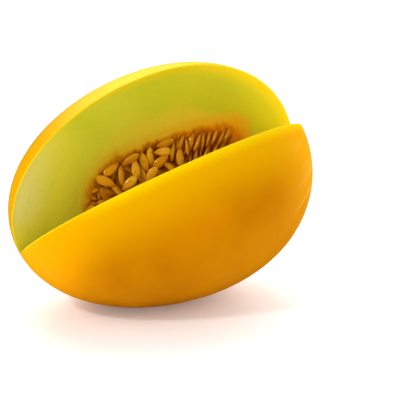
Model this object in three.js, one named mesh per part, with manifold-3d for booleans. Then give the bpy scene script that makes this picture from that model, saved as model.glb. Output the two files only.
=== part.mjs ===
// A canary melon lying on its side, with one lengthwise wedge cut out of it.
// The cut runs down to the seed hollow, so the flesh of both cut walls shows, and
// between them the heap of seeds and fibre that fills the hollow.
// Millimetres, +Z up. The fruit's long axis lies near X, its blunter end towards +X.

import * as THREE from 'three';
import { mergeVertices } from 'three/addons/utils/BufferGeometryUtils.js';
import Module from 'manifold-3d';

const DEG = Math.PI / 180;

// The whole fruit
const LENGTH = 189.4;
const WIDTH = 142;
const SWELL = [1, 0.167, 0.102, -0.021]; // section area along the fruit, a cubic in -1..1
const YAW = 23 * DEG; // the long axis turned away from X, seen from above
const TILT = 13 * DEG; // the blunt end raised
const FLAT_DEPTH = 1.6; // how far the skin is pressed flat where the fruit rests

// The wedge, cut along a line that runs close to the long axis
const CUT_OFFSET = [0, 2.5, -3.8]; // where that line passes the middle of the fruit
const CUT_SLEW = 1.5 * DEG;
const CUT_RISE = 4 * DEG;
const BACK_WALL = 98.4 * DEG; // the standing wall, past upright
const WEDGE_ANGLE = 53.5 * DEG;
const WEDGE_MIDDLE = BACK_WALL + WEDGE_ANGLE / 2;

// The seed hollow
const HOLLOW_LENGTH = 125;
const HOLLOW_WIDTH = 63;
const HOLLOW_SHIFT = 8; // towards the blunt end
const HOLLOW_POWER = 2.7; // fuller than an ellipse, which has 2

// The heap of fibre in the hollow
const CLEARANCE = 0.4; // from the heap to the flesh
const HEAP_CUT_ANGLE = 84 * DEG; // the heap has slumped wider open than the wedge
const HEAP_RISE = 8; // and fills the bottom of the wedge this far up

// The seeds on the heap. Towards the narrow end they lie flat, every way round, and
// towards the blunt end they stand side by side on edge.
const SEED_LENGTH = 12.5;
const SEED_WIDTH = 5.8;
const SEED_THICKNESS = 2.2;
const SEED_TAPER = 0.28; // how much slimmer the pointed half is
const LYING_PITCH = [9, 7.4]; // along the cut, and up the wall
const LYING_TUMBLE = 0.42; // how far a lying seed turns off the heap's face, in radians
const STANDING_FROM = 4; // where along the cut the standing seeds begin
const STANDING_PITCH = [4, 12];
const STANDING_LEAN = 33 * DEG; // towards the blunt end
const STANDING_SWAY = 0.3; // how much the lean differs from seed to seed, in radians

// Facets
const FRUIT_STEPS = 34;
const FRUIT_SIDES = 64;
const HOLLOW_STEPS = 18;
const HOLLOW_SIDES = 32;
const HEAP_STEPS = 14;
const HEAP_SIDES = 24;
const SEED_STEPS = 4;
const SEED_SIDES = 6;

const wasm = await Module();
wasm.setup();

function toSolid(geometry) {
  const bare = geometry.clone();
  bare.deleteAttribute('normal');
  bare.deleteAttribute('uv');
  const merged = mergeVertices(bare, 1e-4);
  const index = merged.index.array;
  const triVerts = [];
  for (let i = 0; i < index.length; i += 3) {
    const [a, b, c] = [index[i], index[i + 1], index[i + 2]];
    if (a !== b && b !== c && c !== a) triVerts.push(a, b, c);
  }
  const vertProperties = new Float32Array(merged.attributes.position.array);
  return new wasm.Manifold(new wasm.Mesh({ numProp: 3, vertProperties, triVerts: new Uint32Array(triVerts) }));
}

function toGeometry(solid) {
  const { vertProperties, triVerts } = solid.getMesh();
  const geometry = new THREE.BufferGeometry();
  geometry.setAttribute('position', new THREE.BufferAttribute(vertProperties, 3));
  geometry.setIndex(new THREE.BufferAttribute(triVerts, 1));
  geometry.computeVertexNormals();
  return geometry;
}

function largestPiece(solid) {
  return solid.decompose().reduce((best, piece) => (piece.volume() > best.volume() ? piece : best));
}

// A round form about the X axis. radiusAt takes -1 at its low X end to 1 at its high X end.
function turned(halfLength, radiusAt, steps, sides) {
  const profile = [];
  for (let i = 0; i <= steps; i += 1) {
    const t = -Math.cos((Math.PI * i) / steps);
    const atTip = i === 0 || i === steps;
    profile.push(new THREE.Vector2(atTip ? 0 : radiusAt(t), t * halfLength));
  }
  return new THREE.LatheGeometry(profile, sides).rotateZ(-Math.PI / 2);
}

// The fruit's own frame, with X along its axis, as it lies at rest
const restingPose = new THREE.Matrix4().makeRotationFromEuler(new THREE.Euler(0, -TILT, YAW, 'ZYX'));

// The line that the knife followed is the X axis of this frame within the fruit
const cutFrame = new THREE.Matrix4()
  .makeRotationFromEuler(new THREE.Euler(0, -CUT_RISE, CUT_SLEW, 'ZYX'))
  .setPosition(...CUT_OFFSET);

function wholeFruit() {
  const radiusAt = (t) => {
    const swell = SWELL[0] + SWELL[1] * t + SWELL[2] * t ** 2 + SWELL[3] * t ** 3;
    return (WIDTH / 2) * Math.sqrt((1 - t * t) * swell);
  };
  return turned(LENGTH / 2, radiusAt, FRUIT_STEPS, FRUIT_SIDES);
}

function hollowRadius(t, gap) {
  return (HOLLOW_WIDTH / 2 - gap) * (1 - Math.abs(t) ** HOLLOW_POWER) ** (1 / HOLLOW_POWER);
}

function hollow(gap, steps, sides) {
  return turned(HOLLOW_LENGTH / 2 - gap, (t) => hollowRadius(t, gap), steps, sides)
    .translate(HOLLOW_SHIFT, 0, 0);
}

// A long prism whose two walls open from an edge on the cut line, moved out by rise
function wedge(angle, rise) {
  const reach = WIDTH * 1.4;
  const length = LENGTH * 1.4;
  const outline = new THREE.Shape();
  outline.moveTo(0, 0);
  for (const wall of [WEDGE_MIDDLE - angle / 2, WEDGE_MIDDLE + angle / 2]) {
    outline.lineTo(reach * Math.cos(wall), reach * Math.sin(wall));
  }
  const crossSectionAxes = new THREE.Matrix4().makeBasis(
    new THREE.Vector3(0, 1, 0),
    new THREE.Vector3(0, 0, 1),
    new THREE.Vector3(1, 0, 0),
  );
  return new THREE.ExtrudeGeometry(outline, { depth: length, bevelEnabled: false })
    .translate(rise * Math.cos(WEDGE_MIDDLE), rise * Math.sin(WEDGE_MIDDLE), -length / 2)
    .applyMatrix4(crossSectionAxes)
    .applyMatrix4(cutFrame);
}

// A flat drop, slimmer at one end, with its length along X and its flat faces up and down
function seedForm() {
  const radiusAt = (t) => (SEED_WIDTH / 2) * (1 - t * t) ** 0.62 * (1 - SEED_TAPER * t);
  return turned(SEED_LENGTH / 2, radiusAt, SEED_STEPS, SEED_SIDES)
    .scale(1, 1, SEED_THICKNESS / SEED_WIDTH);
}

// A small seeded random source, so that every build gives the same heap
function randomSource(start) {
  let state = start;
  return () => {
    state = (state * 1664525 + 1013904223) % 4294967296;
    return state / 4294967296;
  };
}

// True for a place in the fruit's frame that is inside the hollow, less the heap's clearance
function insideHollow(place) {
  const t = (place.x - HOLLOW_SHIFT) / (HOLLOW_LENGTH / 2 - CLEARANCE);
  return Math.abs(t) < 1 && Math.hypot(place.y, place.z) < hollowRadius(t, CLEARANCE);
}

// One of the heap's two faces, on side -1 or 1 of the wedge: X along the cut, Y up the
// wall and Z out of the heap
function heapFace(side) {
  const slope = WEDGE_MIDDLE + (side * HEAP_CUT_ANGLE) / 2;
  const along = new THREE.Vector3(-side, 0, 0);
  const up = new THREE.Vector3(0, Math.cos(slope), Math.sin(slope));
  return new THREE.Matrix4()
    .makeBasis(along, up, new THREE.Vector3().crossVectors(along, up))
    .setPosition(0, HEAP_RISE * Math.cos(WEDGE_MIDDLE), HEAP_RISE * Math.sin(WEDGE_MIDDLE))
    .premultiply(cutFrame);
}

function seedPlaces() {
  const random = randomSource(20260);
  const jitter = (spread) => (random() - 0.5) * spread;
  const lying = {
    span: [HOLLOW_SHIFT - HOLLOW_LENGTH / 2, STANDING_FROM],
    pitch: LYING_PITCH,
    turn: () => [jitter(LYING_TUMBLE), jitter(LYING_TUMBLE), random() * 2 * Math.PI],
    lift: () => 0.3 + 0.9 * random(),
  };
  const standing = {
    span: [STANDING_FROM, HOLLOW_SHIFT + HOLLOW_LENGTH / 2],
    pitch: STANDING_PITCH,
    turn: (side) => [Math.PI / 2, 0, Math.PI / 2 + side * STANDING_LEAN + jitter(STANDING_SWAY)],
    lift: () => 0.4 + random(),
  };
  const places = [];
  for (const side of [-1, 1]) {
    for (const { span, pitch, turn, lift } of [lying, standing]) {
      for (let x = span[0]; x < span[1]; x += pitch[0]) {
        for (let y = pitch[1] * 0.4; y < HOLLOW_WIDTH / 2; y += pitch[1]) {
          places.push(new THREE.Matrix4()
            .makeRotationFromEuler(new THREE.Euler(...turn(side), 'ZYX'))
            .setPosition(-side * (x + jitter(pitch[0] / 3)), y + jitter(pitch[1] / 2), lift())
            .premultiply(heapFace(side)));
        }
      }
    }
  }
  const tips = [-1, 1].map((end) => new THREE.Vector3((end * SEED_LENGTH) / 2, 0, 0));
  return places.filter((place) => tips.every((tip) => insideHollow(tip.clone().applyMatrix4(place))));
}

function melonSolid(floor) {
  const under = new THREE.BoxGeometry(LENGTH * 2, LENGTH * 2, WIDTH).translate(0, 0, floor - WIDTH / 2);
  const cuts = [wedge(WEDGE_ANGLE, 0), hollow(0, HOLLOW_STEPS, HOLLOW_SIDES)];
  let melon = toSolid(wholeFruit().applyMatrix4(restingPose)).subtract(toSolid(under));
  for (const cut of cuts) melon = melon.subtract(toSolid(cut.applyMatrix4(restingPose)));
  return largestPiece(melon);
}

function seedMassSolid() {
  const fill = toSolid(hollow(CLEARANCE, HEAP_STEPS, HEAP_SIDES));
  let heap = fill.subtract(toSolid(wedge(HEAP_CUT_ANGLE, HEAP_RISE)));
  for (const place of seedPlaces()) heap = heap.add(toSolid(seedForm().applyMatrix4(place)));
  return largestPiece(heap.intersect(fill)).transform(restingPose.toArray());
}

function namedMesh(name, solid, color, roughness) {
  const material = new THREE.MeshStandardMaterial({ color, roughness, metalness: 0 });
  const mesh = new THREE.Mesh(toGeometry(solid), material);
  mesh.name = name;
  return mesh;
}

const skin = wholeFruit().applyMatrix4(restingPose);
skin.computeBoundingBox();
const floor = skin.boundingBox.min.z + FLAT_DEPTH;

const melon = namedMesh('melon', melonSolid(floor), 0xf0b418, 0.35);
const seedMass = namedMesh('seed_mass', seedMassSolid(), 0xc98f28, 0.3);

// The origin is the middle of the melon's box, on the floor
melon.geometry.computeBoundingBox();
const middle = melon.geometry.boundingBox.getCenter(new THREE.Vector3());
const object = new THREE.Group();
object.add(melon, seedMass);
object.position.set(-middle.x, -middle.y, -floor);

export default object;
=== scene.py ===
import math
import random

import bpy
from mathutils import Euler, Matrix, Vector


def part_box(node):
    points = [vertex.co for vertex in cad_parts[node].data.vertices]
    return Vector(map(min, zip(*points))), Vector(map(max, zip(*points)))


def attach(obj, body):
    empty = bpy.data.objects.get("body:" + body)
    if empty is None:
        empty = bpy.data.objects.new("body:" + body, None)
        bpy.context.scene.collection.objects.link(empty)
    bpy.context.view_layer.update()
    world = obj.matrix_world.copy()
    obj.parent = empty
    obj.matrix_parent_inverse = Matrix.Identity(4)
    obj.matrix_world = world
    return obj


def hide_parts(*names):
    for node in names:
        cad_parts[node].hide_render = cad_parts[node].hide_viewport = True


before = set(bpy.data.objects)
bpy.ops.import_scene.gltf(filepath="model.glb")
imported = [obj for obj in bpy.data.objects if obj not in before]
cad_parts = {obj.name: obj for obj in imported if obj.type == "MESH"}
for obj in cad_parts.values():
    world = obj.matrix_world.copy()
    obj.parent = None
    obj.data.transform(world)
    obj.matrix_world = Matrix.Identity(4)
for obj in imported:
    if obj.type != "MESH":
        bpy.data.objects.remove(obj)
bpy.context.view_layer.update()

# The melon. A canary melon is one berry: a smooth waxy rind about 1 mm thick over flesh that
# is firm and greenish near the rind, and soft and orange round the seed hollow. It lies on
# its side with one lengthwise wedge cut out, down to the hollow, by two strokes of a knife.
MM = 0.001
MELON_LENGTH = 189.4 * MM
MELON_WIDTH = 142 * MM
SWELL = (0.167, 0.102, -0.021)  # a cubic along the fruit, which makes its high X end blunter
YAW = math.radians(23)  # from +X towards +Y
TILT = math.radians(13)  # raises the blunt end
CUT_OFFSET = Vector((0, 2.5, -3.8)) * MM  # to the knife line, where the two cuts meet
CUT_SLEW = math.radians(1.5)  # turns the knife line sideways off the fruit's length
CUT_RISE = math.radians(4)  # and raises it towards the blunt end
BACK_WALL = math.radians(98.4)  # round the knife line, from +Y up over the top
WEDGE_ANGLE = math.radians(53.5)
WEDGE_MIDDLE = BACK_WALL + WEDGE_ANGLE / 2
HOLLOW_LENGTH = 125 * MM
HOLLOW_WIDTH = 63 * MM
HOLLOW_SHIFT = 8 * MM
HOLLOW_POWER = 2.7  # fuller at the ends than an oval, which would be 2
ROUNDING_REACH = 6 * MM  # from the knife line, inside which an edge is hardly rounded
SEAM = 0.01 * MM

resting_turn = Euler((0, -TILT, YAW))
cut_turn = Euler((0, -CUT_RISE, CUT_SLEW))


class Wire:
    """A value in a node tree. Arithmetic on numbers adds Math nodes to the tree."""

    def __init__(self, nodes, socket):
        self.nodes = nodes
        self.socket = socket

    def __getitem__(self, output):
        """Another output of the node that this value comes from."""
        return Wire(self.nodes, self.socket.node.outputs[output])

    def __add__(self, other):
        return self.nodes.math("ADD", self, other)

    def __radd__(self, other):
        return self.nodes.math("ADD", other, self)

    def __sub__(self, other):
        return self.nodes.math("SUBTRACT", self, other)

    def __rsub__(self, other):
        return self.nodes.math("SUBTRACT", other, self)

    def __mul__(self, other):
        return self.nodes.math("MULTIPLY", self, other)

    def __rmul__(self, other):
        return self.nodes.math("MULTIPLY", other, self)

    def __truediv__(self, other):
        return self.nodes.math("DIVIDE", self, other)

    def __rtruediv__(self, other):
        return self.nodes.math("DIVIDE", other, self)

    def __pow__(self, other):
        return self.nodes.math("POWER", self, other)

    def __neg__(self):
        return self.nodes.math("MULTIPLY", self, -1)


class Nodes:
    """Adds nodes to one tree, of a shape or of a material."""

    def __init__(self, tree):
        self.tree = tree

    def link(self, value, socket):
        """Feeds a socket from a wire, or sets it to a plain value."""
        if isinstance(value, Wire):
            self.tree.links.new(value.socket, socket)
        else:
            socket.default_value = value

    def add(self, kind, inputs=None, output=0, **settings):
        """A new node, with its settings made first and then its inputs. It gives one output."""
        node = self.tree.nodes.new(kind)
        for name, value in settings.items():
            setattr(node, name, value)
        for name, value in (inputs or {}).items():
            self.link(value, node.inputs[name])
        return Wire(self, node.outputs[output]) if node.outputs else node

    def math(self, operation, *values):
        return self.add("ShaderNodeMath", dict(enumerate(values)), operation=operation)

    def vector(self, operation, *values):
        return self.add("ShaderNodeVectorMath", dict(enumerate(values)), operation=operation)

    def scaled(self, vector, factor):
        return self.add("ShaderNodeVectorMath", {"Vector": vector, "Scale": factor}, operation="SCALE")

    def join(self, x, y, z):
        return self.add("ShaderNodeCombineXYZ", {"X": x, "Y": y, "Z": z})

    def split(self, vector):
        parts = self.add("ShaderNodeSeparateXYZ", {"Vector": vector})
        return parts["X"], parts["Y"], parts["Z"]

    def ramp(self, value, low, high, start=0.0, end=1.0, style="SMOOTHSTEP"):
        """value from low to high becomes start to end, and stays there beyond them."""
        inputs = {"Value": value, "From Min": low, "From Max": high, "To Min": start, "To Max": end}
        return self.add("ShaderNodeMapRange", inputs, interpolation_type=style)

    def noise(self, place, scale, detail=3.0, roughness=0.5):
        inputs = {"Vector": place, "Scale": scale, "Detail": detail, "Roughness": roughness}
        return self.add("ShaderNodeTexNoise", inputs)

    def blend(self, first, second, factor):
        """The first colour, turning into the second as factor goes from 0 to 1. The sockets 6
        and 7 and the output 2 are the ones for colours."""
        return self.add("ShaderNodeMix", {0: factor, 6: first, 7: second}, 2, data_type="RGBA")

    def turned(self, vector, turn):
        """A vector turned about the origin by Euler angles."""
        return self.add("ShaderNodeVectorRotate", {"Vector": vector, "Rotation": turn},
                        rotation_type="EULER_XYZ")


def shape_tree(name, sizes):
    """A Geometry Nodes tree with one input for each named size, as its Nodes and those inputs."""
    tree = bpy.data.node_groups.new(name, "GeometryNodeTree")
    tree.interface.new_socket("Geometry", in_out="INPUT", socket_type="NodeSocketGeometry")
    for label, value in sizes.items():
        kind = "NodeSocketInt" if isinstance(value, int) else "NodeSocketFloat"
        tree.interface.new_socket(label, in_out="INPUT", socket_type=kind).default_value = value
    tree.interface.new_socket("Geometry", in_out="OUTPUT", socket_type="NodeSocketGeometry")
    nodes = Nodes(tree)
    return nodes, nodes.add("NodeGroupInput")


def store(nodes, geometry, domain="POINT", kind="FLOAT", **values):
    """Keeps each named value on the geometry, for a later tree or a material."""
    for name, value in values.items():
        inputs = {"Geometry": geometry, "Name": name, "Value": value}
        geometry = nodes.add("GeometryNodeStoreNamedAttribute", inputs, data_type=kind, domain=domain)
    return geometry


def stored(nodes, name, kind="FLOAT"):
    """A value that an earlier tree kept, as a shape tree reads it."""
    return nodes.add("GeometryNodeInputNamedAttribute", {"Name": name}, data_type=kind)


def finish_tree(nodes, geometry, *finishes):
    """Ends a shape tree. Each finish is a material and the faces that it goes on."""
    geometry = nodes.add("GeometryNodeRealizeInstances", {"Geometry": geometry})
    geometry = nodes.add("GeometryNodeSetShadeSmooth", {0: geometry})
    for material, faces in finishes:
        inputs = {"Geometry": geometry, "Selection": faces, "Material": material}
        geometry = nodes.add("GeometryNodeSetMaterial", inputs)
    nodes.add("NodeGroupOutput", {"Geometry": geometry})


def grown(name, shapes, base=None):
    """An object whose mesh is what the shape trees make. Each shape is a tree and its sizes."""
    piece = bpy.data.objects.new(name, base or bpy.data.meshes.new(name))
    bpy.context.scene.collection.objects.link(piece)
    for nodes, sizes in shapes:
        modifier = piece.modifiers.new(nodes.tree.name, "NODES")
        modifier.node_group = nodes.tree
        for label, value in sizes.items():
            modifier[nodes.tree.interface.items_tree[label].identifier] = value
    view = bpy.context.evaluated_depsgraph_get()
    piece.data = bpy.data.meshes.new_from_object(piece.evaluated_get(view), depsgraph=view)
    piece.data.name = name
    piece.modifiers.clear()
    return piece


def handed_over(piece, slot, *cad_nodes):
    """Hangs a finished piece on the root body and hides the solids that it stands for. Its slot is not
    used.
    """
    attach(piece, "root")
    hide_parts(*cad_nodes)


SWELL_LIMIT = 1.2  # of half the form's length, past which the swell stays the same


def level(nodes, point, form):
    """0 in the middle of a rounded form about the X axis, 1 on its surface and more outside."""
    x, y, z = nodes.split(point)
    x = (x - form["shift"]) / (form["length"] / 2)
    limited = nodes.math("MINIMUM", nodes.math("MAXIMUM", x, -SWELL_LIMIT), SWELL_LIMIT)
    swell = 1 + limited * (form["swell"][0] + limited * (form["swell"][1] + limited * form["swell"][2]))
    across = nodes.math("SQRT", y * y + z * z) / (form["width"] / 2 * nodes.math("SQRT", swell))
    return (nodes.math("ABSOLUTE", x) ** form["power"] + across ** form["power"]) ** (1 / form["power"])


REACH_PASSES = 14
FIRST_REACH = 50 * MM


def reach(nodes, start, direction, form):
    """How far a ray goes before it leaves a rounded form that it starts in. Each pass divides
    the ray's length by the level that it ended on."""
    first = nodes.tree.nodes.new("GeometryNodeRepeatInput")
    last = nodes.tree.nodes.new("GeometryNodeRepeatOutput")
    first.pair_with_output(last)
    last.repeat_items.clear()
    last.repeat_items.new("FLOAT", "Distance")
    first.inputs["Iterations"].default_value = REACH_PASSES
    first.inputs["Distance"].default_value = FIRST_REACH
    distance = Wire(nodes, first.outputs["Distance"])
    point = nodes.vector("ADD", start, nodes.scaled(direction, distance))
    nodes.link(distance / level(nodes, point, form), last.inputs["Distance"])
    return Wire(nodes, last.outputs["Distance"])


def cut_start(nodes, rise):
    """The middle of the knife line, moved out by rise into the wedge."""
    start = nodes.join(0.0, rise * math.cos(WEDGE_MIDDLE), rise * math.sin(WEDGE_MIDDLE))
    return nodes.vector("ADD", nodes.turned(start, cut_turn), tuple(CUT_OFFSET))


def cut_ray(nodes, sweep, angle):
    """A ray at an angle round the knife line. It sweeps from one end of the line to the other."""
    sine = nodes.math("SINE", sweep)
    spoke = nodes.join(nodes.math("COSINE", sweep), sine * nodes.math("COSINE", angle),
                       sine * nodes.math("SINE", angle))
    return nodes.turned(spoke, cut_turn)


def fallen(nodes, gap, radius):
    """How far a wall falls back at this gap from its edge, where the edge is rounded."""
    inside = nodes.math("MAXIMUM", radius - gap, 0)
    return radius - nodes.math("SQRT", nodes.math("MAXIMUM", radius * radius - inside * inside, 0))


# The form is one closed grid: one way runs round the skin, in over the back wall, round the
# hollow and out over the front wall, and the other way sweeps along the knife line.
CUT_FORM = {
    "Length": MELON_LENGTH, "Width": MELON_WIDTH, "Shift": 0.0, "Power": 2.0,
    "Swell 1": SWELL[0], "Swell 2": SWELL[1], "Swell 3": SWELL[2],
    "Hollow Length": HOLLOW_LENGTH, "Hollow Width": HOLLOW_WIDTH,
    "Hollow Shift": HOLLOW_SHIFT, "Hollow Power": HOLLOW_POWER, "Hollow Share": 1.0,
    "Wedge Angle": WEDGE_ANGLE, "Wedge Rise": 0.0, "Rim Radius": 0.6 * MM, "Lip Radius": 0.2 * MM,
    "Steps Round Skin": 180, "Steps Over Wall": 60, "Steps Round Hollow": 80, "Steps Along": 184,
}
cut_form, size = shape_tree("cut form", CUT_FORM)
skin = {"length": size["Length"], "width": size["Width"], "shift": size["Shift"],
        "power": size["Power"], "swell": [size["Swell 1"], size["Swell 2"], size["Swell 3"]]}
hollow = {"length": size["Hollow Length"], "width": size["Hollow Width"],
          "shift": size["Hollow Shift"], "power": size["Hollow Power"], "swell": [0, 0, 0]}
skin_steps, wall_steps, hollow_steps = (
    size["Steps Round Skin"], size["Steps Over Wall"], size["Steps Round Hollow"])
loop_steps = skin_steps + 2 * wall_steps + hollow_steps
grid = cut_form.add("GeometryNodeMeshGrid", {
    "Size X": 1.0, "Size Y": 1.0,
    "Vertices X": loop_steps + 1, "Vertices Y": size["Steps Along"] + 1})
loop_share, sweep_share, _ = cut_form.split(grid["UV Map"])
step = loop_share * loop_steps


def passed(before, steps):
    """0 up to one place on the loop, and 1 from some steps later."""
    return cut_form.ramp(step, before, before + steps, style="LINEAR")


def eased(share):
    """0 to 1 with close steps at both ends, where a wall's edges are rounded."""
    return 0.5 - 0.5 * cut_form.math("COSINE", share * math.pi)


round_share = passed(0, skin_steps) - passed(skin_steps + wall_steps, hollow_steps)
out_share = (1 - eased(passed(skin_steps, wall_steps))
             + eased(passed(skin_steps + wall_steps + hollow_steps, wall_steps)))
sweep = (1 - sweep_share) * math.pi
front_wall = size["Wedge Angle"] / 2 + WEDGE_MIDDLE
open_arc = 2 * math.pi - size["Wedge Angle"]
start = cut_start(cut_form, size["Wedge Rise"])
sharp_ray = cut_ray(cut_form, sweep, front_wall + round_share * open_arc)
sharp_hollow = reach(cut_form, start, sharp_ray, hollow) * size["Hollow Share"]
wall_width = reach(cut_form, start, sharp_ray, skin) - sharp_hollow

# Near its two edges a wall falls back from the plane that the knife cut, which rounds them
fall = (fallen(cut_form, (1 - out_share) * wall_width, size["Rim Radius"])
        + fallen(cut_form, out_share * wall_width, size["Lip Radius"]))
off_line = (sharp_hollow + out_share * wall_width) * cut_form.math("SINE", sweep)
back_off = fall * off_line / (off_line * off_line + ROUNDING_REACH ** 2)
soft_angle = front_wall + back_off + round_share * (open_arc - 2 * back_off)
soft_ray = cut_ray(cut_form, sweep, soft_angle)
soft_hollow = reach(cut_form, start, soft_ray, hollow) * size["Hollow Share"]
soft_skin = reach(cut_form, start, soft_ray, skin)
distance = soft_hollow + out_share * (soft_skin - soft_hollow)
place = cut_form.vector("ADD", start, cut_form.scaled(soft_ray, distance))
form = cut_form.add("GeometryNodeSetPosition", {"Geometry": grid, "Position": place})

# What the later trees and the materials read: how far under the skin, off the hollow, off the
# cut and off the knife line a point is, how far along, and where it is on the way round
point = cut_form.add("GeometryNodeInputPosition")
form = store(
    cut_form, form,
    under_skin=(1 - level(cut_form, point, skin)) * (size["Width"] / 2),
    off_hollow=(level(cut_form, point, hollow) - 1) * (size["Hollow Width"] / 2),
    off_cut=cut_form.math("MINIMUM", round_share, 1 - round_share) * open_arc * off_line,
    off_line=off_line,
    along=distance * cut_form.math("COSINE", sweep),
    round_skin=round_share,
)
on_skin = (cut_form.math("GREATER_THAN", step, 0.5)
           * cut_form.math("LESS_THAN", step, skin_steps - 0.5))
form = store(cut_form, form, on_wall=1 - on_skin)
facing = math.pi * (cut_form.math("GREATER_THAN", round_share, 0.5) - 0.5)
wall_normal = cut_ray(cut_form, math.pi / 2, soft_angle + facing)
form = store(cut_form, form, kind="FLOAT_VECTOR", wall_normal=wall_normal)
form = store(cut_form, form, "FACE", is_skin=cut_form.math("LESS_THAN", step, skin_steps))
form = cut_form.add("GeometryNodeMergeByDistance", {"Geometry": form, "Distance": SEAM})
cut_form.add("NodeGroupOutput", {"Geometry": form})


def colour(red, green, blue):
    """A colour as a screen shows it, from 0 to 255, turned into what a shader takes."""
    shares = [value / 255 for value in (red, green, blue)]
    linear = [s / 12.92 if s <= 0.04045 else ((s + 0.055) / 1.055) ** 2.4 for s in shares]
    return (*linear, 1.0)


def finish(name, **constants):
    """A new material, as its nodes and its shader's inputs, with these constant settings."""
    material = bpy.data.materials.new(name)
    material.use_nodes = True
    nodes = Nodes(material.node_tree)
    nodes.tree.nodes.clear()
    shader = nodes.add("ShaderNodeBsdfPrincipled")
    inputs = shader.socket.node.inputs
    for label, value in constants.items():
        inputs[label.replace("_", " ")].default_value = value
    nodes.add("ShaderNodeOutputMaterial", {"Surface": shader})
    return material, nodes, inputs


def kept(nodes, name):
    """A value that the shape tree kept, as a material reads it."""
    return nodes.add("ShaderNodeAttribute", attribute_name=name)["Fac"]


def lengthwise(nodes, stretch=(1, 1, 1)):
    """Object coordinates turned to lie along the fruit, for patterns that run end to end."""
    back = resting_turn.to_matrix().inverted().to_euler()
    place = nodes.add("ShaderNodeTexCoord")["Object"]
    place = nodes.add("ShaderNodeMapping", {"Vector": place, "Rotation": tuple(back)})
    return nodes.vector("MULTIPLY", place, stretch)


def bump(nodes, height, depth):
    """Fine relief for a shader's Normal, this deep where the height goes from 0 to 1."""
    return nodes.add("ShaderNodeBump", {"Height": height, "Strength": 1.0, "Distance": depth})


# The rind is gold with soft clouds and fine streaks that run lengthwise. It is painted lighter near
# the cut, as a painted glow of light through the thin edge, and it is lighter at both ends.
rind, nodes, shader = finish(
    "waxy rind", Specular_IOR_Level=0.015, Specular_Tint=colour(255, 200, 40), Subsurface_Weight=0.1,
    Subsurface_Scale=5 * MM, Subsurface_Radius=(1.0, 0.5, 0.1))
clouds = nodes.noise(lengthwise(nodes), 24, 3)
streaks = nodes.noise(lengthwise(nodes, (0.15, 1, 1)), 90, 4, 0.6)
pores = nodes.noise(lengthwise(nodes), 1100, 2)
gold = nodes.blend(colour(184, 113, 0), colour(195, 124, 0), nodes.ramp(clouds, 0.35, 0.65))
gold = nodes.blend(gold, colour(200, 118, 4), 0.6 * nodes.ramp(streaks, 0.5, 0.75))
off_cut = kept(nodes, "off_cut")
# Painted glow: the rind is lighter within 40 mm of the cut, where light comes through the edge
gold = nodes.blend(colour(218, 159, 0), gold, nodes.ramp(off_cut, 1 * MM, 40 * MM))
along = kept(nodes, "along")
gold = nodes.blend(gold, colour(240, 160, 0), nodes.ramp(along, -95 * MM, -55 * MM, 1, 0))
gold = nodes.blend(gold, colour(236, 160, 2), nodes.ramp(along, 42 * MM, 92 * MM))
round_skin = kept(nodes, "round_skin")
back_edge = nodes.ramp(round_skin, 0.4, 0.6)

# Faint shallow creases run to the blunt end, most of them on the front. Their pale colour is a
# painted highlight, streaks of sheen along the creases
creases_and_sheen = nodes.noise(nodes.join(0.5 * along, round_skin - 0.13, 0.0), 30, 3)
creases_and_sheen = (nodes.ramp(creases_and_sheen, 0.48, 0.76) * nodes.ramp(along, 46 * MM, 78 * MM)
           * nodes.ramp(along, 76 * MM, 90 * MM, 1, 0.1)
           * nodes.ramp(round_skin, 0.04, 0.16, 0.1, 1) * nodes.ramp(round_skin, 0.24, 0.4, 1, 0.15))
gold = nodes.blend(gold, colour(255, 210, 112), 0.7 * creases_and_sheen)

# Round the back the rind is painted pale towards the cut, a painted highlight of strong light from
# behind, and it is duller at the narrow end
painted_backlight = (back_edge * nodes.ramp(off_cut, 8 * MM, 60 * MM, 1, 0)
        * nodes.ramp(along, -75 * MM, 5 * MM, 0.03, 1) * nodes.ramp(along, 30 * MM, 80 * MM, 1, 0.2))
gold = nodes.blend(gold, colour(250, 210, 66), painted_backlight)
narrow_end = nodes.ramp(along, -95 * MM, -30 * MM, 1, 0)
gold = nodes.blend(gold, colour(202, 148, 0), 0.8 * back_edge * narrow_end)

# Painted glow: light coming through the flesh along the front cut is painted in, so the rind is
# painted yellow there and its sliced edge painted a pale gold
painted_glow = (nodes.ramp(off_cut, -2 * MM, 7 * MM, 1, 0) * (1 - back_edge)
        * nodes.ramp(along, -76 * MM, -38 * MM, 0.1, 1))
gold = nodes.blend(gold, colour(230, 200, 0), painted_glow)
painted_edge_glow = nodes.ramp(off_cut, 0.1 * MM, 1.0 * MM, 1, 0) * (1 - 0.8 * back_edge)
gold = nodes.blend(gold, colour(232, 186, 10), painted_edge_glow)
nodes.link(gold, shader["Base Color"])
nodes.link(nodes.ramp(pores, 0.3, 0.7, 0.26, 0.38), shader["Roughness"])
nodes.link(bump(nodes, 0.9 * streaks + 0.4 * pores + creases_and_sheen, 0.25 * MM), shader["Normal"])

# Where the heap of seeds and fibre lies along the fruit, and so where the flesh turns orange
SEEDS_START = -58.5 * MM
SEEDS_END = 64 * MM
START_SLANT = 0.78  # how far the narrow end leans towards the blunt end for each step up
LINE_BELOW_HEAP = 7.1 * MM  # the knife line in the flesh lies this far below the heap's ridge


def inside_heap(nodes, along, up, off_hollow):
    """How far in from the hollow's lining and from the ends of the heap of seeds."""
    from_start = 0.8 * (along - START_SLANT * up - SEEDS_START)
    from_start = nodes.math("MAXIMUM", from_start, 0.5 * from_start)
    from_ends = nodes.math("MINIMUM", from_start, SEEDS_END - along)
    return nodes.math("SMOOTH_MIN", -off_hollow, from_ends, 7 * MM)


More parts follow.
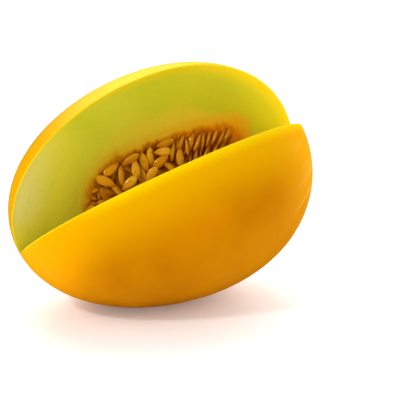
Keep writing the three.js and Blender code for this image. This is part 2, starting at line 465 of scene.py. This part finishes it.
def towards_seeds(nodes, body, up):
    """The flesh's colour, which turns to haze, amber and brown fibre towards the seeds."""
    along = kept(nodes, "along")
    inward = inside_heap(nodes, along, up, kept(nodes, "off_hollow"))
    threads = nodes.noise(nodes.join(along, 0.12 * up, 0.0), 620, 4, 0.6)
    tufts = nodes.noise(nodes.join(along, 0.15 * up, 0.0), 130, 3, 0.6)
    patches = nodes.noise(lengthwise(nodes), 60, 4)
    inward = inward + 4 * MM * (threads - 0.5) + 6 * MM * (patches - 0.5) - 6 * MM * (tufts - 0.5)
    blunt = nodes.ramp(along, -30 * MM, 35 * MM)

    # The haze starts furthest out in the middle of the fruit
    hazy = (nodes.ramp(along, -48 * MM, -8 * MM, -5 * MM, -20 * MM)
            + nodes.ramp(along, 14 * MM, 60 * MM, 0, 15 * MM))
    haze = nodes.blend(colour(205, 185, 44), colour(219, 188, 42), blunt)
    body = nodes.blend(body, haze, nodes.ramp(inward, hazy, 0.3 * hazy))

    # Amber comes next, in a wider band from the middle to the blunt end
    amber = nodes.blend(colour(208, 150, 20), colour(232, 163, 10), blunt)
    turn = nodes.ramp(along, -40 * MM, -8 * MM, 0, 3 * MM)
    amber = nodes.blend(amber, colour(210, 122, 6), 0.5 * nodes.ramp(threads, 0.5, 0.68))
    from_amber = inward - 0.6 * turn + nodes.ramp(along, 18 * MM, 42 * MM, 0, 1.2 * MM)
    amber_start = nodes.ramp(along, -48 * MM, -4 * MM, -2 * MM, -7.5 * MM)
    body = nodes.blend(body, amber, nodes.ramp(from_amber, amber_start, 2.5 * MM))

    # The fibre among the seeds is brown with paler threads
    from_brown = (inward - turn - nodes.ramp(along, 10 * MM, 34 * MM, 1 * MM, 4.5 * MM)
                  + nodes.ramp(along, 45 * MM, 62 * MM, 0, 4 * MM))
    brown = nodes.blend(colour(160, 90, 8), colour(200, 128, 14), nodes.ramp(patches, 0.35, 0.65))
    brown = nodes.blend(brown, colour(214, 168, 84), 0.55 * nodes.ramp(threads, 0.52, 0.7))
    return nodes.blend(body, brown, nodes.ramp(from_brown, 1 * MM, 5 * MM))


# The flesh is green-yellow with soft clouds and faint growth lines. It is paler towards both
# ends, and a deeper yellow close under the rind, partly its own colour and partly a painted glow
# of light through the thin edge. At the blunt end it is painted lighter, which lifts the shade deep in
# the cut.
flesh, nodes, shader = finish(
    "cut flesh", Specular_IOR_Level=0.3, Specular_Tint=colour(255, 240, 120), Subsurface_Weight=0.2,
    Subsurface_Scale=5 * MM, Subsurface_Radius=(1.0, 0.8, 0.15))
clouds = nodes.noise(lengthwise(nodes), 30, 4)
grain = nodes.noise(lengthwise(nodes), 420, 4, 0.6)
along, under_skin = kept(nodes, "along"), kept(nodes, "under_skin")
blunt = nodes.ramp(along, -30 * MM, 60 * MM)
middle = nodes.blend(colour(183, 182, 34), colour(197, 190, 46), nodes.ramp(clouds, 0.35, 0.65))
middle = nodes.blend(middle, colour(195, 188, 30), blunt)
# Painted light: a lighter yellow towards the blunt end lifts the shade deep in the cut
middle = nodes.blend(middle, colour(221, 207, 28), nodes.ramp(along, 52 * MM, 86 * MM))
middle = nodes.blend(middle, colour(208, 195, 50), nodes.ramp(along, -60 * MM, -35 * MM, 1, 0))
pale_end = (nodes.ramp(along, -86 * MM, -44 * MM, 1, 0) * nodes.ramp(under_skin, 4 * MM, 24 * MM, 1, 0)
            * nodes.ramp(kept(nodes, "off_line"), 8 * MM, 26 * MM))
middle = nodes.blend(middle, colour(210, 197, 106), pale_end)
growth_lines = nodes.noise(nodes.join(0.1 * along, under_skin, 0.0), 240, 3, 0.6)
middle = nodes.blend(middle, colour(176, 176, 20), 0.2 * nodes.ramp(growth_lines, 0.45, 0.8))
# Partly painted glow: the yellow under the rind, widest towards the blunt end, stands for light through
# the thin edge
outer = nodes.blend(colour(214, 186, 18), colour(248, 214, 8), nodes.ramp(along, 20 * MM, 85 * MM))
outer_depth = nodes.ramp(along, -70 * MM, 60 * MM, 1.8 * MM, 9 * MM)
body = nodes.blend(outer, middle, nodes.ramp(under_skin, 0.2 * MM, outer_depth))
up = kept(nodes, "off_line") - LINE_BELOW_HEAP
nodes.link(towards_seeds(nodes, body, up), shader["Base Color"])
nodes.link(nodes.ramp(grain, 0.3, 0.7, 0.24, 0.42), shader["Roughness"])
nodes.link(bump(nodes, 0.5 * grain + 0.3 * clouds + 0.2 * growth_lines, 0.3 * MM), shader["Normal"])

# What growing and cutting leave: shallow hollows in the rind, faint knife marks on the walls
# and ragged fibre where the hollow's lining was torn
SURFACE = {"Rind Hollows": 0.3 * MM, "Knife Marks": 0.25 * MM, "Torn Lining": 0.3 * MM}
melon_surface, size = shape_tree("melon surface", SURFACE)
point = melon_surface.add("GeometryNodeInputPosition")
lengthened = melon_surface.vector("MULTIPLY", point, (0.35, 1, 1))
under_skin = stored(melon_surface, "under_skin")
near_hollow = melon_surface.ramp(stored(melon_surface, "off_hollow"), 0, 7 * MM, 1, 0)
torn = melon_surface.noise(melon_surface.join(
    stored(melon_surface, "along"), 0.25 * stored(melon_surface, "off_line"), 0.0), 340, 4, 0.6)
inward = (size["Rind Hollows"] * (0.6 + melon_surface.noise(lengthened, 45, 2))
          * melon_surface.ramp(under_skin, 0, 1 * MM, 1, 0)
          + size["Knife Marks"] * melon_surface.noise(lengthened, 90, 3)
          * melon_surface.ramp(under_skin, 0.3 * MM, 2 * MM)
          * melon_surface.ramp(stored(melon_surface, "off_hollow"), 4 * MM, 12 * MM)
          + size["Torn Lining"] * (torn - 0.5) * near_hollow)
offset = melon_surface.scaled(melon_surface.add("GeometryNodeInputNormal"), -inward)
form = melon_surface.add("GeometryNodeSetPosition", {"Geometry": size["Geometry"], "Offset": offset})
skin_faces = melon_surface.math("GREATER_THAN", stored(melon_surface, "is_skin"), 0.5)
finish_tree(melon_surface, form, (flesh, 1 - skin_faces), (rind, skin_faces))

melon = grown("melon_flesh_and_rind", [(cut_form, {}), (melon_surface, {})])


def corner(piece, pick):
    """The lowest corner of a piece's box with min as pick, or the highest with max."""
    return Vector([pick(vertex.co[axis] for vertex in piece.data.vertices) for axis in range(3)])


# The fruit lies where the solid lies: their boxes have the same middle and the same top, and
# what would be under the floor is the flat spot that the fruit rests on
melon.data.transform(resting_turn.to_matrix().to_4x4())
low, high = corner(melon, min), corner(melon, max)
cad_low, cad_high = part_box("melon")
fruit_middle = (cad_low + cad_high - low - high) / 2
fruit_middle.z = cad_high.z - high.z
in_place = Matrix.Translation(fruit_middle) @ resting_turn.to_matrix().to_4x4()
melon.data.transform(Matrix.Translation(fruit_middle))
for vertex in melon.data.vertices:
    vertex.co.z = max(vertex.co.z, cad_low.z)
handed_over(melon, "melon_rind", "melon")

# The pulp. Wet orange fibre fills the seed hollow and carries the seeds. It is rooted in the
# flesh and stands highest along it, in a bank. It has slumped a little between its banks, so
# its two faces open wider than the wedge.
ROOTED = 6 * MM  # how deep the fibre reaches into the flesh round the hollow
HEAP_CUT_ANGLE = math.radians(84)  # between the heap's two faces
HEAP_RISE = 8 * MM  # from the knife line up to the ridge where they would meet

# The pulp takes the cut form at its own size, with no hollow and a wider wedge
PULP_FORM = {
    "Length": HOLLOW_LENGTH + 2 * ROOTED, "Width": HOLLOW_WIDTH + 2 * ROOTED,
    "Shift": HOLLOW_SHIFT, "Power": HOLLOW_POWER, "Swell 1": 0.0, "Swell 2": 0.0, "Swell 3": 0.0,
    "Hollow Share": 0.0, "Wedge Angle": HEAP_CUT_ANGLE, "Wedge Rise": HEAP_RISE,
    "Rim Radius": 0.0, "Lip Radius": 0.0,
    "Steps Round Skin": 60, "Steps Over Wall": 70, "Steps Round Hollow": 1, "Steps Along": 260,
}
pulp, nodes, shader = finish(
    "wet pulp", Specular_IOR_Level=0.3, Specular_Tint=colour(255, 240, 120), Subsurface_Weight=0.2,
    Subsurface_Scale=4 * MM, Subsurface_Radius=(1.0, 0.6, 0.1), Coat_Roughness=0.16,
    Coat_Tint=colour(255, 225, 170))
along, up = kept(nodes, "along"), kept(nodes, "off_line")
inward = inside_heap(nodes, along, up, kept(nodes, "off_hollow"))
threads = nodes.noise(nodes.join(along, 0.2 * up, 0.0), 700, 4, 0.6)
nodes.link(towards_seeds(nodes, colour(204, 196, 38), up), shader["Base Color"])
nodes.link(nodes.ramp(threads, 0.3, 0.7, 0.22, 0.42), shader["Roughness"])
nodes.link(nodes.ramp(inward, 1 * MM, 5 * MM, 0, 0.8), shader["Coat Weight"])
nodes.link(bump(nodes, threads * nodes.ramp(inward, -4 * MM, 4 * MM), 0.6 * MM), shader["Normal"])

PULP_SURFACE = {
    "Bank Width": 9 * MM, "Tufts": 12 * MM, "Over Lip": 0.05 * MM, "Root Depth": 0.1 * MM,
    "Sink Lying": 2.4 * MM, "Sink Standing": 1.5 * MM, "Sink Low Down": 2 * MM,
    "Fibre Ridges": 1.4 * MM, "Ridge Filled": 20 * MM,
}
pulp_surface, size = shape_tree("pulp surface", PULP_SURFACE)
along, off_line = stored(pulp_surface, "along"), stored(pulp_surface, "off_line")
inward = inside_heap(pulp_surface, along, off_line, stored(pulp_surface, "off_hollow"))

# The bank has ragged tufts on its inner side. Its root lies just under the face of the cut
# wall, and it stands just over the hollow's lip.
tufts = pulp_surface.noise(pulp_surface.join(along, 0.15 * off_line, 0.0), 130, 3, 0.6)
bank = pulp_surface.ramp(inward - size["Tufts"] * (tufts - 0.5), 0.5 * MM, size["Bank Width"], 1, 0)
on_front = pulp_surface.math("LESS_THAN", stored(pulp_surface, "round_skin"), 0.5)
wall_angle = BACK_WALL + WEDGE_ANGLE * on_front
up_wall = cut_ray(pulp_surface, math.pi / 2, wall_angle)
off_wall = cut_ray(pulp_surface, math.pi / 2, wall_angle + math.pi * (0.5 - on_front))
rooted = pulp_surface.ramp(stored(pulp_surface, "under_skin"), 0.3 * MM, ROOTED, size["Root Depth"],
                           -size["Over Lip"])
drop = (HEAP_RISE * math.sin(WEDGE_ANGLE / 2)
        - off_line * math.sin((HEAP_CUT_ANGLE - WEDGE_ANGLE) / 2) + rooted)
at_ridge = pulp_surface.ramp(off_line, 0, size["Ridge Filled"], 1, 0)
slide = HEAP_RISE * math.cos(WEDGE_ANGLE / 2) * at_ridge
to_wall = pulp_surface.vector("ADD", pulp_surface.scaled(off_wall, -drop * bank),
                              pulp_surface.scaled(up_wall, -slide * bank))

# Between the banks the heap has sunk, unevenly, and its fibre lies in ridges up the wall
ridges = pulp_surface.noise(pulp_surface.join(along, 0.3 * off_line, 0.0), 320, 4, 0.6)
lumps = pulp_surface.noise(pulp_surface.add("GeometryNodeInputPosition"), 150, 3)
sink = (pulp_surface.ramp(along, 10 * MM, 24 * MM, size["Sink Lying"], size["Sink Standing"])
        + pulp_surface.ramp(off_line, 3 * MM, 12 * MM, size["Sink Low Down"], 0))
sunk = ((1 - bank) * sink * (0.6 + 0.8 * lumps)
        + size["Fibre Ridges"] * (ridges - 0.5) * pulp_surface.ramp(inward, -1 * MM, 5 * MM))
inwards = pulp_surface.scaled(stored(pulp_surface, "wall_normal", "FLOAT_VECTOR"), -sunk)
on_wall = stored(pulp_surface, "on_wall")

# What is rooted in the flesh slides down with the bank near the knife line
ridge_down = pulp_surface.vector("SUBTRACT", cut_start(pulp_surface, 0.0),
                                 cut_start(pulp_surface, HEAP_RISE))
with_ridge = pulp_surface.scaled(ridge_down, (1 - on_wall) * at_ridge)
offset = pulp_surface.scaled(pulp_surface.vector("ADD", to_wall, inwards), on_wall)
offset = pulp_surface.vector("ADD", offset, with_ridge)
form = pulp_surface.add("GeometryNodeSetPosition", {"Geometry": size["Geometry"], "Offset": offset})
finish_tree(pulp_surface, form, (pulp, True))

heap = grown("seed_heap_pulp", [(cut_form, PULP_FORM), (pulp_surface, {})])
heap.data.transform(in_place)
handed_over(heap, "melon_seeds", "seed_mass")

# The seeds. Each is a flat smooth drop with a thin glossy skin, 12.5 mm long. They lie flat and
# every way round towards the narrow end, where the last are small and unripe, and stand on
# edge in a row towards the blunt end, as they grew, and lean over.
SEED = {"Seed Length": 12.5 * MM, "Seed Width": 5.8 * MM, "Seed Thickness": 2.2 * MM,
        "Taper": 0.28, "Sides": 12, "Rings": 7}
ROUNDING = 0.12  # a seed keeps nearly its full width until close to its ends
seed_skin, nodes, shader = finish(
    "seed skin", Specular_IOR_Level=0.8, Specular_Tint=colour(255, 205, 120), Subsurface_Weight=0.15,
    Subsurface_Scale=1.5 * MM, Subsurface_Radius=(1.0, 0.6, 0.15))
tone = kept(nodes, "tone")
mottle = nodes.noise(lengthwise(nodes), 420, 3)
husk = nodes.blend(colour(208, 142, 14), colour(232, 176, 34), nodes.ramp(tone, 0, 1))
husk = nodes.blend(husk, colour(189, 109, 10), 0.6 * nodes.ramp(mottle, 0.48, 0.72))
husk = nodes.blend(husk, colour(206, 116, 8), 0.8 * nodes.ramp(kept(nodes, "end"), 0.1, 0.9))
# The rim of each seed is darker, partly from a film of pulp and partly as painted shade
husk = nodes.blend(colour(178, 100, 8), husk, nodes.ramp(kept(nodes, "belly"), 0.05, 0.55))
# Painted shade: seeds with tones below 0, which lie deep in the fibre, turn darker
husk = nodes.blend(colour(172, 102, 10), husk, nodes.ramp(tone, -1, 0))
nodes.link(husk, shader["Base Color"])
nodes.link(nodes.ramp(mottle, 0.3, 0.7, 0.12, 0.24), shader["Roughness"])
nodes.link(bump(nodes, mottle, 0.15 * MM), shader["Normal"])

seeds_on_points, size = shape_tree("seeds on points", SEED)
ball = seeds_on_points.add("GeometryNodeMeshUVSphere", {
    "Segments": size["Sides"], "Rings": size["Rings"], "Radius": 1.0})
x, y, t = seeds_on_points.split(seeds_on_points.add("GeometryNodeInputPosition"))
slim = (seeds_on_points.math("MAXIMUM", 1 - t * t, 0.0) ** ROUNDING) * (1 - size["Taper"] * t)
drop = seeds_on_points.join(t * size["Seed Length"] / 2, x * slim * size["Seed Width"] / 2,
                            y * slim * size["Seed Thickness"] / 2)
one_seed = store(seeds_on_points, ball, belly=seeds_on_points.math("ABSOLUTE", y), end=t)
one_seed = seeds_on_points.add("GeometryNodeSetPosition", {"Geometry": one_seed, "Position": drop})
seeds = seeds_on_points.add("GeometryNodeInstanceOnPoints", {
    "Points": size["Geometry"], "Instance": one_seed,
    "Rotation": stored(seeds_on_points, "turn", "FLOAT_VECTOR"),
    "Scale": stored(seeds_on_points, "size")})
finish_tree(seeds_on_points, seeds, (seed_skin, True))


def heap_face(side):
    """One of the heap's faces, the back one on side -1: X along the cut, Y up and Z out."""
    slope = WEDGE_MIDDLE + side * HEAP_CUT_ANGLE / 2
    along = Vector((-side, 0, 0))
    up = Vector((0, math.cos(slope), math.sin(slope)))
    face = Matrix((along, up, along.cross(up))).transposed().to_4x4()
    face.translation = HEAP_RISE * Vector((0, math.cos(WEDGE_MIDDLE), math.sin(WEDGE_MIDDLE)))
    return Matrix.Translation(CUT_OFFSET) @ cut_turn.to_matrix().to_4x4() @ face


def in_hollow(place, gap):
    """True for a place in the fruit's frame that is inside the hollow by at least a gap."""
    t = (place.x - HOLLOW_SHIFT) / (HOLLOW_LENGTH / 2 - gap)
    room = max(1 - abs(t) ** HOLLOW_POWER, 0) ** (1 / HOLLOW_POWER)
    return math.hypot(place.y, place.z) < (HOLLOW_WIDTH / 2 - gap) * room


def seeds_piece(name, places):
    """One piece for all the seeds at these places. Each is a matrix, a size and a tone."""
    base = bpy.data.meshes.new(name)
    base.from_pydata([place.translation for place, _, _ in places], [], [])
    turn = base.attributes.new("turn", "FLOAT_VECTOR", "POINT")
    turn.data.foreach_set("vector", [angle for place, _, _ in places for angle in place.to_euler()])
    for label, column in (("size", 1), ("tone", 2)):
        values = base.attributes.new(label, "FLOAT", "POINT")
        values.data.foreach_set("value", [row[column] for row in places])
    piece = grown(name, [(seeds_on_points, {})], base)
    piece.data.transform(in_place)
    handed_over(piece, "melon_seeds", "seed_mass")


# The seeds that show at the back wall: along the cut and up the wall in mm, the way that the
# pointed end points and how the seed rolls and tips in degrees, and its lift in mm
LYING_SEEDS = [
    (-32.6, 15.3, -46, 10, -8, 2.0),
    (-26.4, 21.0, 18, -20, 10, 1.2),
    (-22.0, 14.8, 74, 35, 6, 0.6),
    (-13.8, 21.4, 194, -25, 8, 1.1),
    (-12.6, 15.3, 72, 8, 12, 1.5),
    (-6.1, 16.8, 271, 30, -6, 0.5),
    (-1.2, 17.7, 259, -25, 5, 0.0),
    (-19.4, 8.8, 203, 12, 10, 2.4),
    (-5.1, 8.6, 214, 8, 14, 2.8),
    (7.2, 18.2, 164, 15, -5, 1.0),
    (10.0, 22.6, 178, -15, 0, 1.2),
    (3.4, 13.2, 22, -10, -14, 1.4),
    (15.9, 11.6, 70, 10, 8, 1.9),
    (12.9, 15.6, 61, 55, 0, 0.6),
    (-27.5, 8.0, 120, 40, -12, 0.2),
    (-9.6, 9.8, 88, -40, 4, -0.7),
    (8.5, 7.5, 130, 30, -12, 0.8),
]
STANDING_SEEDS = [
    (20.6, 19.5, 50, 66, 0, 0.2),
    (22.4, 15.4, 78, 78, 4, 1.0),
    (26.4, 17.2, 58, 68, -4, 0.5),
    (29.8, 15.4, 46, 80, 3, 1.1),
    (33.1, 14.8, 64, 84, 0, 0.7),
    (37.1, 14.8, 53, 78, 4, 0.9),
    (40.8, 14.0, 45, 84, -3, 0.8),
    (45.2, 12.2, 41, 68, 3, 1.0),
    (49.0, 12.0, 40, 80, -6, 0.2),
    (25.5, 7.2, 60, 60, 6, 1.4),
    (31.5, 6.0, 50, 74, -5, 1.2),
    (38.0, 5.4, 48, 70, 5, 0.8),
]
chance = random.Random(20260)
back_face, front_face = heap_face(-1), heap_face(1)


def seed_place(face, along, up, turn, roll, tip, lift):
    """Where a seed lies on a face of the heap, in mm and degrees, as a matrix."""
    return (face @ Matrix.Translation(Vector((along, up, lift)) * MM)
            @ Euler((math.radians(roll), math.radians(tip), math.radians(turn))).to_matrix().to_4x4())


HEAP_HEIGHT = 30  # mm up the wall, which is more than the hollow has room for
STRAY = 0.4  # of the spacing, either way
TIPS, UNEVEN = 14, 0.4  # the most that a seed tips in degrees and is lifted or sunk in mm


def scattered(face, way, rolls, turns, lift, tones, spacing, ends, room, sizes=(0.85, 1.0)):
    """Seeds in loose rows over part of a face, where the hollow leaves this much room round
    them. way is 1 on the back face, where X points at the blunt end, and -1 on the front."""
    seeds = []
    for column in range(round((ends[1] - ends[0]) / spacing[0])):
        for row in range(round(HEAP_HEIGHT / spacing[1])):
            along = ends[0] + spacing[0] * column + STRAY * spacing[0] * chance.uniform(-1, 1)
            up = 1 + spacing[1] * row + STRAY * spacing[1] * chance.uniform(-1, 1)
            turn = 90 + way * (chance.uniform(*turns) - 90)
            place = seed_place(face, way * along, up, turn, chance.uniform(*rolls),
                               chance.uniform(-TIPS, TIPS), lift + chance.uniform(-UNEVEN, UNEVEN))
            if in_hollow(place.translation, room):
                seeds.append((place, chance.uniform(*sizes), chance.uniform(*tones)))
    return seeds


def shown(rows):
    """The seeds of a list, each a little larger or smaller and lighter or darker."""
    return [(seed_place(back_face, *row), chance.uniform(0.95, 1.05), chance.random())
            for row in rows]


FLAT, ON_EDGE = (-28, 28), (66, 104)  # how far a seed rolls about its length, in degrees
ANY_WAY, LEANING = (0, 360), (42, 60)  # the way that its pointed end points, in degrees
# Seeds that lie deep in the fibre get these dark tones as painted shade
SHADED_DEEP = (-1, -0.5)  # the tones of seeds that lie deep in the fibre
UNRIPE = (0.3, 0.5)  # of the size of a ripe one

# After the seeds that show come those under and between them, the ones on the front face, and
# the unripe ones on both faces
lying = shown(LYING_SEEDS)
lying += scattered(back_face, 1, FLAT, ANY_WAY, lift=-2.0, tones=SHADED_DEEP,
                   spacing=(6, 5), ends=(-34, 18), room=9 * MM)
lying += scattered(front_face, -1, FLAT, ANY_WAY, lift=-1.4, tones=SHADED_DEEP,
                   spacing=(6, 6), ends=(-40, 20), room=7 * MM)
lying += scattered(front_face, -1, FLAT, ANY_WAY, lift=0.4, tones=(0, 1),
                   spacing=(8.5, 7), ends=(-36, 18), room=7 * MM)
lying += scattered(back_face, 1, FLAT, ANY_WAY, lift=-1.6, tones=(-1, 0.1),
                   spacing=(3.6, 3.6), ends=(-49, -33), room=4 * MM, sizes=UNRIPE)
lying += scattered(front_face, -1, FLAT, ANY_WAY, lift=-1.2, tones=(-1, 0.2),
                   spacing=(4.5, 4.5), ends=(-49, -36), room=5 * MM, sizes=UNRIPE)
seeds_piece("lying_seeds", lying)

standing = shown(STANDING_SEEDS)
standing += scattered(back_face, 1, ON_EDGE, LEANING, lift=-1.6, tones=(-0.5, 0.4),
                      spacing=(3.1, 8), ends=(19, 52), room=7 * MM)
standing += scattered(front_face, -1, ON_EDGE, LEANING, lift=0.4, tones=(-0.1, 1),
                      spacing=(3.7, 9), ends=(20, 54), room=7 * MM)
seeds_piece("standing_seeds", standing)

# The fibres. Thin wet strands of the torn lining hang from the flesh over the seeds, most of
# them at the blunt end.
FIBRES = {"Strands": 700, "Shortest": 2 * MM, "Longest": 5.5 * MM, "Thickness": 0.4 * MM,
          "Seed": 5, "Sides": 5, "Joints": 7}
fibre, nodes, shader = finish(
    "wet fibre", Specular_IOR_Level=0.6, Specular_Tint=colour(255, 200, 110), Subsurface_Weight=0.3,
    Subsurface_Scale=1 * MM, Subsurface_Radius=(1.0, 0.5, 0.1))
amber = nodes.blend(colour(236, 190, 56), colour(228, 140, 12), nodes.ramp(kept(nodes, "tone"), 0, 1))
nodes.link(amber, shader["Base Color"])
wetness = nodes.noise(lengthwise(nodes), 600, 2)
nodes.link(nodes.ramp(wetness, 0.3, 0.7, 0.18, 0.35), shader["Roughness"])

strands, size = shape_tree("fibre strands", FIBRES)


def drawn(low, high, number):
    """A random value for each strand, the same one every time. The sockets 2 and 3 and the
    output 1 are the ones for plain numbers."""
    inputs = {2: low, 3: high, "Seed": size["Seed"] * 10 + number}
    return strands.add("FunctionNodeRandomValue", inputs, 1, data_type="FLOAT")


# A sweep of 0 is the blunt end, and there are fewer strands the further from it
THINNING = 1.8
ON_BACK = 0.6  # the share of the strands that hang from the back wall's side
INTO_WALL = 0.06  # radians behind the plane of a wall, so that they start in the flesh
roots = strands.add("GeometryNodePoints", {"Count": size["Strands"]})
sweep = math.pi * (0.08 + 0.8 * drawn(0.0, 1.0, 1) ** THINNING)
on_front = strands.math("GREATER_THAN", drawn(0.0, 1.0, 2), ON_BACK)
wall = BACK_WALL - INTO_WALL + (WEDGE_ANGLE + 2 * INTO_WALL) * on_front
lining = {"length": HOLLOW_LENGTH, "width": HOLLOW_WIDTH, "shift": HOLLOW_SHIFT,
          "power": HOLLOW_POWER, "swell": [0, 0, 0]}
ray = cut_ray(strands, sweep, wall)
start = cut_start(strands, 0.0)
far = reach(strands, start, ray, lining)
root = strands.vector("ADD", start, strands.scaled(ray, far + drawn(-1 * MM, 3 * MM, 3)))
aim = strands.vector("ADD", strands.scaled(ray, -1.0), strands.join(
    drawn(-0.6, 0.3, 4), drawn(-0.25, 0.25, 5), drawn(-0.25, 0.25, 6)))
aim = strands.scaled(aim, drawn(size["Shortest"], size["Longest"], 7))
roots = store(strands, roots, kind="FLOAT_VECTOR", root=root, aim=aim)
roots = store(strands, roots, tone=drawn(0.0, 1.0, 8))
line = strands.add("GeometryNodeCurvePrimitiveLine", {"Start": (0, 0, 0), "End": (0, 0, 1)})
line = strands.add("GeometryNodeResampleCurve", {"Curve": line, "Count": size["Joints"]})
lines = strands.add("GeometryNodeInstanceOnPoints", {"Points": roots, "Instance": line})
lines = strands.add("GeometryNodeRealizeInstances", {"Geometry": lines})
share = strands.add("GeometryNodeSplineParameter")
stretch = strands.scaled(stored(strands, "aim", "FLOAT_VECTOR"), share)
place = strands.vector("ADD", stored(strands, "root", "FLOAT_VECTOR"), stretch)
curl = strands.vector("SUBTRACT", strands.noise(place, 260, 1)["Color"], (0.5, 0.5, 0.5))
place = strands.vector("ADD", place, strands.scaled(curl, share * 5 * MM))
lines = strands.add("GeometryNodeSetPosition", {"Geometry": lines, "Position": place})
thin = size["Thickness"] / 2 * (1.1 - 0.8 * share)
profile = strands.add("GeometryNodeCurvePrimitiveCircle", {
    "Resolution": size["Sides"], "Radius": 1.0})
tubes = strands.add("GeometryNodeCurveToMesh", {
    "Curve": lines, "Profile Curve": profile, "Scale": thin, "Fill Caps": True})
finish_tree(strands, tubes, (fibre, True))

fibres = grown("lining_fibres", [(strands, {})])
fibres.data.transform(in_place)
handed_over(fibres, "melon_seeds", "seed_mass")

# The floor. A wide sheet of matt white paper, which glows a little so that it stays white and
# shows in no reflection.
FLOOR_HALF = 4.5
floor_mesh = bpy.data.meshes.new("floor")
corners = [(-FLOOR_HALF, -FLOOR_HALF, 0), (FLOOR_HALF, -FLOOR_HALF, 0),
           (FLOOR_HALF, FLOOR_HALF, 0), (-FLOOR_HALF, FLOOR_HALF, 0)]
floor_mesh.from_pydata(corners, [], [range(4)])
floor = bpy.data.objects.new("floor", floor_mesh)
bpy.context.scene.collection.objects.link(floor)
paper, nodes, shader = finish("white paper", Roughness=0.55, Specular_IOR_Level=0.3,
                              Emission_Strength=0.12, Emission_Color=(1, 1, 1, 1))
mottle = nodes.noise(nodes.add("ShaderNodeTexCoord")["Object"], 3)
nodes.link(nodes.blend(colour(247, 247, 247), colour(252, 252, 252), mottle), shader["Base Color"])
floor_mesh.materials.append(paper)
floor.visible_glossy = False

# The light. A white room and five broad soft suns show in no reflection, and one small lamp
# to the left gives the glints on the wet seeds and fibre.
ROOM_LIGHT = 0.17
world = bpy.data.worlds.new("white room")
world.use_nodes = True
room = world.node_tree.nodes["Background"].inputs
room["Color"].default_value = (1, 1, 1, 1)
room["Strength"].default_value = ROOM_LIGHT
bpy.context.scene.world = world
world.cycles_visibility.glossy = False


def lamp(name, kind, place, strength, glints, **settings):
    """A lamp that is aimed at the fruit. Its glints are its reflection on shiny things."""
    light = bpy.data.lights.new(name, kind)
    light.energy = strength
    for setting, value in settings.items():
        setattr(light, setting, value)
    holder = bpy.data.objects.new(name, light)
    holder.location = place
    holder.visible_glossy = glints
    holder.rotation_euler = (fruit_middle - Vector(place)).to_track_quat("-Z", "Y").to_euler()
    bpy.context.scene.collection.objects.link(holder)


lamp("window", "SUN", (-0.88, -0.39, 0.26), 2.3, False, angle=math.radians(90))
lamp("top light", "SUN", (-0.15, 0.45, 0.9), 1.15, False, angle=math.radians(50))
lamp("rear light", "SUN", (0.1, 0.85, 0.52), 2.3, False, angle=math.radians(60))
lamp("small lamp", "AREA", (-0.45, -0.45, 0.55), 1.8, True, shape="DISK", size=0.05)
lamp("back light", "SUN", (0.95, 0.25, 0.45), 2.2, False, angle=math.radians(100))
lamp("side light", "SUN", (0.8, -0.6, 0.15), 1.15, False, angle=math.radians(100))
bpy.context.scene.view_settings.view_transform = "Standard"

# The camera stands where the photograph was taken from, level across the picture, and looks
# down a little
FOCAL_PIXELS = 1118.4
PICTURE_WIDTH = 400
FRUIT_TO_CAMERA = Vector((22.9, -653.5, 167.1)) * MM
CAMERA_DOWN = math.radians(15)
lens = bpy.data.cameras.new("camera")
lens.sensor_width = 36
lens.lens = lens.sensor_width * FOCAL_PIXELS / PICTURE_WIDTH
camera = bpy.data.objects.new("camera", lens)
camera.location = fruit_middle + FRUIT_TO_CAMERA
camera.rotation_euler = (math.pi / 2 - CAMERA_DOWN, 0, 0)
bpy.context.scene.collection.objects.link(camera)
bpy.context.scene.camera = camera
